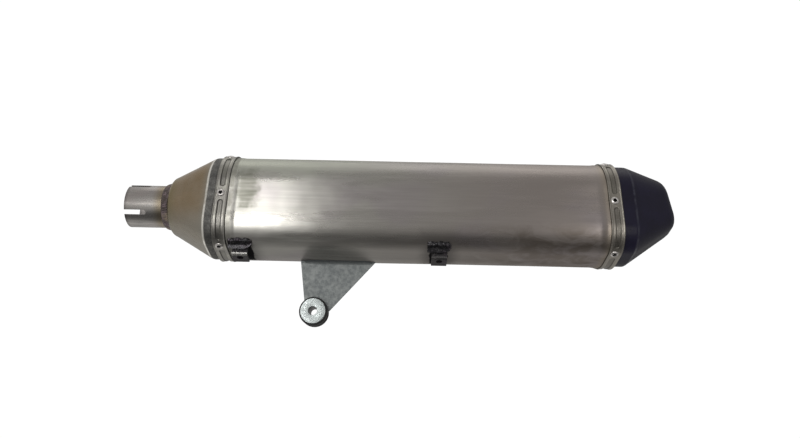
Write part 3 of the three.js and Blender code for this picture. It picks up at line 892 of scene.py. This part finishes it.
# blind rivets: a domed flange round an open barrel
rivetForm = {
    "head": 4.1 * mm, "bore": 1.75 * mm, "dome": 1.25 * mm, "depth": 4.6 * mm, "shank": 2.1 * mm, "count": 40,
    "fromEdge": 5.9 * mm, "sunk": 0.05 * mm, "darkRings": 4,
}


def makeRivet(name, node, distance, x, look):
    (y, z), (ny, nz) = sectionAt(distance)
    seat = bandForm["seat"] - look["sunk"]
    head, bore, dome, foot = look["head"], look["bore"], look["dome"], seat - look["depth"]
    profile = [
        (0.02 * mm, seat + 0.12 * mm), (bore - 0.25 * mm, seat + 0.14 * mm), (bore, seat + 0.25 * mm),
        (bore, seat + dome * 0.55), (bore + 0.2 * mm, seat + dome * 0.86), (bore + 0.6 * mm, seat + dome),
        (bore + 1.1 * mm, seat + dome * 0.93), (head - 0.55 * mm, seat + dome * 0.62),
        (head - 0.12 * mm, seat + dome * 0.3), (head, seat),
        (look["shank"], seat), (look["shank"], foot), (0.02 * mm, foot),
    ]
    rings = turnedRings(profile, Vector((x, y, z)), Vector((0, ny, nz)), look["count"])
    rivet = makeLoft(name, rings, rivetSteel, node, 50)
    dark = [1 if i < look["darkRings"] else 0 for i in range(len(profile))]  # painted shade inside the barrel
    paintPoints(rivet, "paintedShade", np.repeat(dark, look["count"]))


for end in ("front", "rear"):
    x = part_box(end + "_band")[0].x + rivetForm["fromEdge"]
    for i, spot in enumerate(rivetSpots + [girth - s for s in rivetSpots]):
        makeRivet(f"{end}Rivet{i + 1}", f"{end}_rivet_{i + 1}", spot, x, rivetForm)
print("rivets set")

# outlet cap: tapers to a slanted opening with a rolled rim
outletCap = {
    "count": 300, "scale": 0.546, "rise": 9.8 * mm, "wall": 1.5 * mm, "tucked": -1.35 * mm,
    "fold": 513.4 * mm, "foldLean": 1 * mm, "rimTop": 553.8 * mm, "rimBottom": 561.6 * mm,
    "rows": 30, "slopeStart": 0.04, "rimStart": 0.86, "rimRound": 2.3 * mm, "rimRows": 14,
}


# a loop of the cap, from its fold at 0 to its rim at 1
def capLoop(t, inset, look, ring):
    scale = mixNumber(1, look["scale"], t)
    middle = mixNumber(look["fold"], (look["rimTop"] + look["rimBottom"]) / 2, t)
    slant = (look["rimBottom"] - look["rimTop"]) / 2 * t - look["foldLean"] * (1 - t)
    tall = section["topCentre"] + section["topRadius"]
    return [(middle - slant * z / tall, y * scale, z * scale + look["rise"] * t)
            for _, y, z in ringAt(0, (look["tucked"] - inset) / scale, ring)]


def makeCap(look):
    ring = sectionRing(look["count"])
    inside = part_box("rear_cap")[0].x
    tucked, wall, fold, rimStart = look["tucked"], look["wall"], look["fold"], look["rimStart"]
    skirt, corner = ringAt(fold - 1.6 * mm, tucked, ring), capLoop(0, 0, look, ring)
    slope = capLoop(look["slopeStart"], 0, look, ring)
    rings = [ringAt(inside, tucked, ring), skirt]
    rings += [bendRing(skirt, corner, slope, i / 8) for i in range(1, 9)]
    for i in range(1, look["rows"] + 1):
        rings.append(capLoop(mixNumber(look["slopeStart"], rimStart, i / look["rows"]), 0, look, ring))
    # the edge rolls in over a round lip
    for i in range(1, look["rimRows"] + 1):
        a = i / look["rimRows"] * math.pi
        inset = look["rimRound"] * (1 - math.cos(a))
        rings.append(capLoop(rimStart + (1 - rimStart) * math.sin(a), inset, look, ring))
    rings.append(capLoop(0.8, 3.4 * mm, look, ring))
    rings.append(capLoop(0.45, wall, look, ring))
    rings.append(ringAt(fold - 2.2 * mm, tucked - wall, ring))
    rings.append(ringAt(inside, tucked - wall, ring))
    makeLoft("outletCap", rings, capPaint, "rear_cap", 50)


makeCap(outletCap)

outletTube = {
    "outer": 19.8 * mm, "inner": 18.4 * mm, "start": 492 * mm, "end": 550 * mm, "count": 96, "steps": 28,
    "straightIn": 22 * mm, "straightOut": 16 * mm,
}


def makeOutletTube(look):
    a = Vector((look["start"], 0, 0))
    b = a + alongBody * look["straightIn"]
    d = Vector((look["end"], 0, outletCap["rise"]))
    c = d - alongBody * look["straightOut"]
    outwards = range(look["steps"] + 1)
    rings = []
    for radius, steps in ((look["outer"], outwards), (look["inner"], reversed(outwards))):
        for i in steps:
            t = i / look["steps"]
            s = 1 - t
            place = a * s ** 3 + b * 3 * s * s * t + c * 3 * s * t * t + d * t ** 3
            heading = ((b - a) * s * s + (c - b) * 2 * s * t + (d - c) * t * t).normalized()
            upward = across.cross(heading) * -1
            rings.append([place + across * radius * math.sin(w) + upward * radius * math.cos(w)
                          for w in turnsOf(look["count"])])
    makeLoft("outletTube", rings, innerSteel, "outlet_tube", 40)


makeOutletTube(outletTube)
print("outlet made")

# perforated core with its punched holes, wire wrap and wool
core = {
    "outer": 22 * mm, "inner": 20.8 * mm, "margin": 8 * mm, "endCount": 96,
    "cellsRound": 24, "cellsAlong": 68, "hole": 1.75 * mm, "holeSides": 8,
}


def makeCore(look):
    low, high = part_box("perforated_core")
    start, end = low.x + look["margin"], high.x - look["margin"]
    pitchX = (end - start) / look["cellsAlong"]
    pitchTurn = 2 * math.pi / look["cellsRound"]
    sides, hole, midWall = look["holeSides"], look["hole"], (look["outer"] + look["inner"]) / 2
    form = bmesh.new()

    # a cell is a square of sheet, joined from its frame to the hole in its middle
    def addCell(x0, t0, radius):
        def at(dx, dt):
            return form.verts.new((x0 + dx, radius * math.sin(t0 + dt), radius * math.cos(t0 + dt)))

        frameRing, holeRing = [], []
        for k in range(sides):
            a = 2 * math.pi * (k + 0.5) / sides
            c, s = math.cos(a), math.sin(a)
            square = 0.5 / max(abs(c), abs(s))
            frameRing.append(at(c * square * pitchX, s * square * pitchTurn))
            holeRing.append(at(c * hole, s * hole / look["outer"]))
        for k in range(sides):
            m = (k + 1) % sides
            form.faces.new((frameRing[k], frameRing[m], holeRing[m], holeRing[k]))
        corners = [at(cx * pitchX / 2, ct * pitchTurn / 2) for cx, ct in ((1, 1), (-1, 1), (-1, -1), (1, -1))]
        step = sides // 4
        for q, corner in enumerate(corners):
            form.faces.new((frameRing[q * step], corner, frameRing[q * step + 1]))

    for radius in (look["outer"], look["inner"]):
        for i in range(look["cellsAlong"]):
            for j in range(look["cellsRound"]):
                addCell(start + (i + 0.5) * pitchX, (j + 0.5) * pitchTurn, radius)
    bmesh.ops.remove_doubles(form, verts=form.verts, dist=1e-6)

    def isOuter(vert):
        return math.hypot(vert.co.y, vert.co.z) > midWall

    def spotOf(vert):
        turn = round(math.atan2(vert.co.y, vert.co.z) % (2 * math.pi), 4)
        return round(vert.co.x, 6), turn

    # walls through each hole, from the outer skin's open edges to the inner skin
    innerAt = {spotOf(v): v for v in form.verts if not isOuter(v)}
    for edge in [e for e in form.edges if e.is_boundary and isOuter(e.verts[0])]:
        a, b = edge.verts
        pair = [innerAt.get(spotOf(v)) for v in (b, a)]
        atAnEnd = any(max(abs(a.co.x - x), abs(b.co.x - x)) <= 1e-5 for x in (start, end))
        if None not in pair and not atAnEnd:
            form.faces.new((a, b, *pair))
    mesh = bpy.data.meshes.new("perforatedCore")
    form.to_mesh(mesh)
    form.free()
    tube = linked("perforatedCore", mesh)
    finishPiece(tube, innerSteel, "perforated_core", 40)
    for name, x0, x1 in (("coreFrontEnd", low.x, start), ("coreRearEnd", end, high.x)):  # the plain ends
        profile = [(look["inner"], x0), (look["outer"], x0), (look["outer"], x1), (look["inner"], x1)]
        rings = turnedRings(roundedProfile(profile, 0.2 * mm, 2), Vector(), alongBody, look["endCount"])
        makeLoft(name, rings, innerSteel, "perforated_core", 40)


makeCore(core)

packing = {
    "count": 160, "rows": 90, "inset": 4.6 * mm, "inner": 23.9 * mm, "fluff": 0.9 * mm,
    "endRound": 1.5 * mm, "endPart": 0.02,
}


def makePacking(look):
    low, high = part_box("packing")
    ring = sectionRing(look["count"])
    rings = []
    for i in range(look["rows"] + 1):
        t = i / look["rows"]
        x = mixNumber(low.x, high.x, t)
        full = smoothStep(0, look["endPart"], t) * smoothStep(1, 1 - look["endPart"], t)
        rounding = look["endRound"] * (1 - full)
        row = []
        for spot in ring:
            y, z = spot[0]
            fluff = look["fluff"] * noise.noise(Vector((x * 60, y * 160, z * 160)))
            row.append(pointAt(x, -look["inset"] - rounding - abs(fluff), spot))
        rings.append(row)
    rings += [roundRing(x, look["inner"], look["count"]) for x in (high.x, low.x)]
    makeLoft("woolPacking", rings, glassWool, "packing", 60)


makePacking(packing)
print("insides made")

# pieces that keep their CAD shape, with softened edges
softEdges = {
    "hanger_plate": (hangerSteel, 0.35 * mm),
    "heat_shield_tab_front": (tabSteel, 0.3 * mm),
    "heat_shield_tab_rear": (tabSteel, 0.3 * mm),
    "front_end_plate": (innerSteel, 0.3 * mm),
    "rear_end_plate": (innerSteel, 0.3 * mm),
    "packing_mesh_wrap": (wovenWire, 0.2 * mm),
}


def softenNode(node, material, width, segments=3):
    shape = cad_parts[node]
    shape.data.materials.clear()
    shape.data.materials.append(material)
    weld = shape.modifiers.new("weld", "WELD")
    weld.merge_threshold = 1e-6
    edge = shape.modifiers.new("edge", "BEVEL")
    edge.width = width
    edge.segments = segments
    edge.limit_method = "ANGLE"
    edge.angle_limit = 40 * deg
    edge.harden_normals = True


for node, (material, width) in softEdges.items():
    softenNode(node, material, width)

# a lumpy run of weld: a profile swept along X, swollen and rippled
weldRun = {"tip": 8, "count": 260, "ripplePitch": 2.4 * mm, "ripple": 0.28 * mm, "uneven": 0.45 * mm}


def makeWeldRun(name, node, profile, start, end, material, look):
    profile = [Vector((0, y, z)) for y, z in profile]
    middle = sum(profile, Vector()) / len(profile)
    rings = []
    for i in range(look["count"] + 1):
        t = i / look["count"]
        x = mixNumber(start, end, t)
        taper = min(1, math.sqrt(max(0, 1 - (2 * t - 1) ** look["tip"])) + 0.04)
        row = []
        for p in profile:
            away = p - middle
            wave = abs(math.sin(math.pi * x / look["ripplePitch"] + away.z * 400)) - 0.5
            swell = noise.noise(Vector((x * 260, p.y * 300, p.z * 300 + 7)))
            grow = (look["ripple"] * wave + look["uneven"] * swell) / max(away.length, 1 * mm)
            spot = middle + away * (taper * (1 + grow))
            row.append(Vector((x, spot.y, spot.z)))
        rings.append(row)
    tips = []  # each end shrinks to a point
    for row in (rings[0], rings[-1]):
        centre = sum(row, Vector()) / len(row)
        tips.append([centre + (p - centre) * 0.02 for p in row])
    rings = [tips[0], *rings, tips[1]]
    makeLoft(name, rings, material, node, 60, closeRows=False)


def splitEdges(points, steps):
    out = []
    for a, b in zip(points, points[1:]):
        out += [tuple(Vector(a).lerp(Vector(b), s / steps)) for s in range(steps)]
    return out


# a fillet along each side of the hanger plate's foot
hangerWeld = {**weldRun, "uneven": 0.2 * mm, "ripple": 0.2 * mm, "over": 0.25 * mm, "into": 0.3 * mm}


def makeHangerWeld(word, side, look):
    node = "hanger_weld_" + word
    low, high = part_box(node)
    inner, outer = (low.y, high.y) if side > 0 else (high.y, low.y)
    inner -= side * look["into"]
    top, bottom = high.z + look["over"], low.z
    fillet = [(inner, top), (outer, top), (mixNumber(inner, outer, 0.42), mixNumber(top, bottom, 0.3)),
              (mixNumber(inner, outer, 0.12), mixNumber(top, bottom, 0.75)), (inner, bottom)]
    makeWeldRun("hangerWeld" + word.capitalize(), node, splitEdges(fillet, 3), low.x, high.x, hangerSteel,
                look)


makeHangerWeld("outer", -1, hangerWeld)
makeHangerWeld("inner", 1, hangerWeld)

# bush in the hanger's eye: rubber grommet, flanged steel collar and its pressed-on rear flange
bush = {
    "flange": 14.2 * mm, "neck": 9.7 * mm, "bore": 6.35 * mm, "half": 8.75 * mm, "plate": 1.55 * mm,
    "collarFlange": 12.6 * mm, "collarThick": 2.5 * mm, "tube": 6.2 * mm, "bolt": 4.2 * mm, "seat": 9.0 * mm,
    "joint": 0.1 * mm, "rubberCorners": (1.2 * mm, 5), "steelCorners": (0.5 * mm, 4), "count": 128,
}


def turnOnBush(name, profile, corners, material, node, body="muffler"):
    rings = turnedRings(roundedProfile(profile, *corners), eyeCentre, across, bush["count"])
    makeLoft(name, rings, material, node, 40, body)


def makeBush(look):
    bore, flange, neck, half, plate = (look[key] for key in ("bore", "flange", "neck", "half", "plate"))
    bolt, rim, tube, seat = (look[key] for key in ("bolt", "collarFlange", "tube", "seat"))
    face = seat + look["collarThick"]
    tubeEnd = seat - look["joint"]
    grommet = [(bore, -half), (flange, -half), (flange, -plate), (neck, -plate),
               (neck, plate), (flange, plate), (flange, half), (bore, half)]
    collar = [(bolt, -face), (rim, -face), (rim, -seat), (tube, -seat), (tube, tubeEnd), (bolt, tubeEnd)]
    rear = [(bolt, seat), (rim, seat), (rim, face), (bolt, face)]
    turnOnBush("hangerGrommet", grommet, look["rubberCorners"], rubber, "hanger_grommet")
    steel = look["steelCorners"]
    turnOnBush("hangerCollar", collar, steel, zinc, "hanger_collar", "collar")
    turnOnBush("hangerCollarRear", rear, steel, zinc, "hanger_collar_rear", "collar")


makeBush(bush)
print("hanger made")

# lumpy welds above the heat-shield tabs
tabWeld = {
    **weldRun, "uneven": 1.0 * mm, "ripple": 0.2 * mm, "count": 120, "tip": 3,
    "standOff": 5.0 * mm, "sunk": 0.3 * mm, "foot": 33.9 * mm, "run": 8.6 * mm, "extra": 5.0 * mm, "steps": 8,
}


def makeTabWeld(end, look):
    node = "tab_weld_" + end
    low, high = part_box(node)
    ridgeZ = section["ridgeCentre"] - section["ridgeRadius"] / math.cos(section["bottomSlope"])

    def fromRidge(distance):
        y, z = sectionAt(distance)[0]
        return math.hypot(y, z - ridgeZ)

    # distance round the section where the weld starts, measured on the near side
    foot = min(np.linspace(girth / 2, girth, 600), key=lambda d: abs(fromRidge(d) - look["foot"]))
    parts = [i / look["steps"] for i in range(look["steps"] + 1)]
    profile = []
    for t in parts:
        height = look["standOff"] * (1 - t) ** 0.8 * (0.75 + 0.25 * math.cos(t * 9)) + 0.5 * mm * (1 - t)
        profile.append(pointAt(0, height, sectionAt(foot + look["run"] * t))[1:])
    for t in reversed(parts):
        profile.append(pointAt(0, -look["sunk"], sectionAt(foot + look["run"] * t))[1:])
    makeWeldRun("tabWeld" + end.capitalize(), node, profile, low.x - look["extra"], high.x + look["extra"],
                weldSoot, look)


for end in ("front", "rear"):
    makeTabWeld(end, tabWeld)
print("tabs and welds made")

# studio: pale floor, white surround, soft lights
studio = {
    "floorDrop": -0.40, "floorSize": 1.9, "floorPlace": (0.28, 0.9), "floorSides": 96,
    "floor": (0.80, 0.80, 0.79),
    "white": (1.04, 1.04, 1.04), "leftLift": 1.25, "rightLift": 0.85, "sides": (-0.6, 0.5),
    # brightness at each height above the level, in degrees
    "front": ((-90, 0.09), (-48, 0.11), (-28, 0.36), (0, 0.40), (40, 0.38), (90, 0.42)),
    "behind": ((-90, 0.10), (-68, 0.22), (-52, 0.63), (-36, 0.5), (-10, 0.36), (20, 0.48), (90, 0.42)),
    "warmth": (1, 0.985, 0.96), "depths": (-0.15, 0.25),  # where the front ends and where behind starts
}


def makeFloor(look):
    count = look["floorSides"]
    rim = [(math.cos(a), math.sin(a), 0) for a in turnsOf(count)]
    mesh = bpy.data.meshes.new("floor")
    mesh.from_pydata([(0, 0, 0)] + rim, [], [(0, i + 1, (i + 1) % count + 1) for i in range(count)])
    floor = linked("floor", mesh)
    floor.scale = (look["floorSize"], look["floorSize"], 1)
    floor.location = (*look["floorPlace"], look["floorDrop"])
    f = Finish("paleFloor", look["floor"], 0.9, 0.0)
    f.set(f.blend(f.grain(3.0), look["floor"], tuple(c * 0.98 for c in look["floor"])))
    mesh.materials.append(f.material)
    floor.visible_glossy = False  # the steel mirrors the surround, not the floor


def brightnessRamp(nodes, height, stops, warmth):
    ramp = nodes.tree.nodes.new("ShaderNodeValToRGB")
    points = ramp.color_ramp.elements
    while len(points) < len(stops):
        points.new(0.5)
    for point, (angle, level) in zip(points, stops):
        point.position = (math.sin(angle * deg) + 1) / 2
        point.color = (*(level * c for c in warmth), 1)
    nodes.feed(ramp.inputs[0], height)
    return ramp.outputs[0]


# brightness by how high the surround is, darker in front than behind, and a little brighter to the left
def makeSurround(look):
    world = bpy.data.worlds.new("softStudio")
    world.use_nodes = True
    bpy.context.scene.world = world
    s = Nodes(world.node_tree)
    split = s.node("SeparateXYZ", Vector=s.node("TexCoord").outputs["Generated"]).outputs
    height = s.remap(split["Z"], -1, 1, kind="LINEAR")
    front, behind = (brightnessRamp(s, height, look[key], look["warmth"]) for key in ("front", "behind"))
    depth = s.remap(split["Y"], *look["depths"], kind="LINEAR")
    lift = s.remap(split["X"], *look["sides"], look["leftLift"], look["rightLift"], "LINEAR")
    lifted = s.tree.nodes.new("ShaderNodeVectorMath")
    lifted.operation = "SCALE"
    s.feed(lifted.inputs[0], s.blend(depth, front, behind))
    s.feed(lifted.inputs["Scale"], lift)
    # seen directly, the surround is plain white
    seen = s.blend(s.node("LightPath").outputs["Is Camera Ray"], lifted.outputs[0], look["white"])
    s.feed(s.tree.nodes["Background"].inputs["Color"], seen)


lights = {
    "windowLow": {"place": (-0.245, -1.6, 0.065), "aim": (0.131, -0.046, -0.02), "size": (0.125, 1.29),
                  "power": 6.2, "colour": (1.0, 0.99, 0.97)},
    "windowHigh": {"place": (-0.115, -1.35, 0.72), "aim": (0.151, -0.046, 0), "size": (0.035, 0.26),
                   "power": 0.25, "colour": (1.0, 0.99, 0.97)},
    "rightWindow": {"place": (1.09, -1.6, -0.27), "aim": (0.49, -0.046, -0.02), "size": (0.03, 1.3),
                    "power": 2.4, "colour": (1.0, 0.98, 0.95)},
    "sideWindow": {"place": (-0.95, -1.8, -0.02), "aim": (0.02, 0, 0), "size": (0.5, 0.35),
                   "power": 0.55, "colour": (1.0, 0.98, 0.95)},
    "overheadSoft": {"place": (0.3, 0.35, 1.9), "aim": (0.28, 0, 0), "size": (2.2, 1.2),
                     "power": 5.5, "colour": (1.0, 0.99, 0.96)},
}


def makeLight(name, look):
    data = bpy.data.lights.new(name, "AREA")
    data.shape = "RECTANGLE"
    data.size, data.size_y = look["size"]
    data.energy = look["power"]
    data.color = look["colour"]
    light = linked(name, data)
    light.location = look["place"]
    ahead = Vector(look["aim"]) - Vector(look["place"])
    light.rotation_euler = ahead.to_track_quat("-Z", "Y").to_euler()


makeFloor(studio)
makeSurround(studio)
for name, look in lights.items():
    makeLight(name, look)

# camera, low and in front, looking up a little
shot = {
    "aim": Vector((0.281, 0, 0)), "distance": 0.69, "elevation": -16 * deg, "roll": 1.19 * deg,
    "lens": 29.57, "shift": -0.009,
}


def makeCamera(look):
    ahead = Vector((0, math.cos(look["elevation"]), -math.sin(look["elevation"])))
    level = up - ahead * up.dot(ahead)
    level.normalize()
    right = alongBody * math.cos(look["roll"]) + level * math.sin(look["roll"])
    top = level * math.cos(look["roll"]) - alongBody * math.sin(look["roll"])
    data = bpy.data.cameras.new("camera")
    data.lens = look["lens"]
    data.sensor_width = 36
    data.shift_y = look["shift"]
    data.clip_start = 0.01
    camera = linked("camera", data)
    turn = Matrix((right, top, -ahead)).transposed()
    camera.matrix_world = Matrix.Translation(look["aim"] - ahead * look["distance"]) @ turn.to_4x4()
    bpy.context.scene.camera = camera


makeCamera(shot)
bpy.context.scene.view_settings.view_transform = "Standard"
print("studio set")

bpy.context.view_layer.update()
